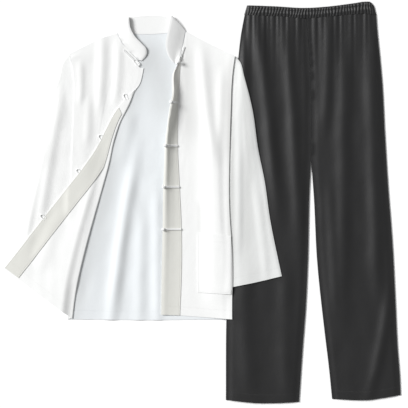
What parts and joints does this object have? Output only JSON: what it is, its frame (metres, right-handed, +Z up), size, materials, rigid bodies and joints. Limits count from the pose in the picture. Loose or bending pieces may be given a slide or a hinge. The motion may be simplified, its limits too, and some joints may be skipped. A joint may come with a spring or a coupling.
{
  "type": "tai chi uniform: stand-collar jacket and elastic-waist trousers",
  "caption": "White stand-collar jacket with frog fastenings, laid open with one front turned back, beside and partly over black elastic-waist trousers.",
  "frame": {"origin": "on the floor, under the middle of the bounding box of both garments", "axes": "+Z up from the floor, +Y towards the collar and the waistband, +X from the jacket towards the trousers"},
  "size_m": [1.0308, 1.0439, 0.0332],
  "materials": {
    "white_cloth": "matte plain weave, white",
    "black_cloth": "matte plain weave, black"
  },
  "bodies": {
    "root": {"jacket_back": "white_cloth", "jacket_front_left": "white_cloth", "jacket_front_right": "white_cloth", "sleeve_left": "white_cloth", "sleeve_right": "white_cloth", "collar": "white_cloth", "pocket": "white_cloth", "button_band": "white_cloth", "front_facing": "white_cloth", "frog_bar_1": "white_cloth", "frog_bar_2": "white_cloth", "frog_bar_3": "white_cloth", "frog_bar_4": "white_cloth", "frog_bar_5": "white_cloth", "frog_bar_collar_right": "white_cloth", "frog_knot_1": "white_cloth", "frog_knot_2": "white_cloth", "frog_knot_3": "white_cloth", "frog_knot_4": "white_cloth", "frog_knot_5": "white_cloth", "frog_loop_1": "white_cloth", "frog_loop_2": "white_cloth", "frog_loop_3": "white_cloth", "frog_loop_4": "white_cloth", "frog_loop_5": "white_cloth", "trouser_back_left": "black_cloth", "trouser_back_right": "black_cloth", "trouser_front_left": "black_cloth", "trouser_front_right": "black_cloth", "waistband": "black_cloth"}
  },
  "joints": []
}
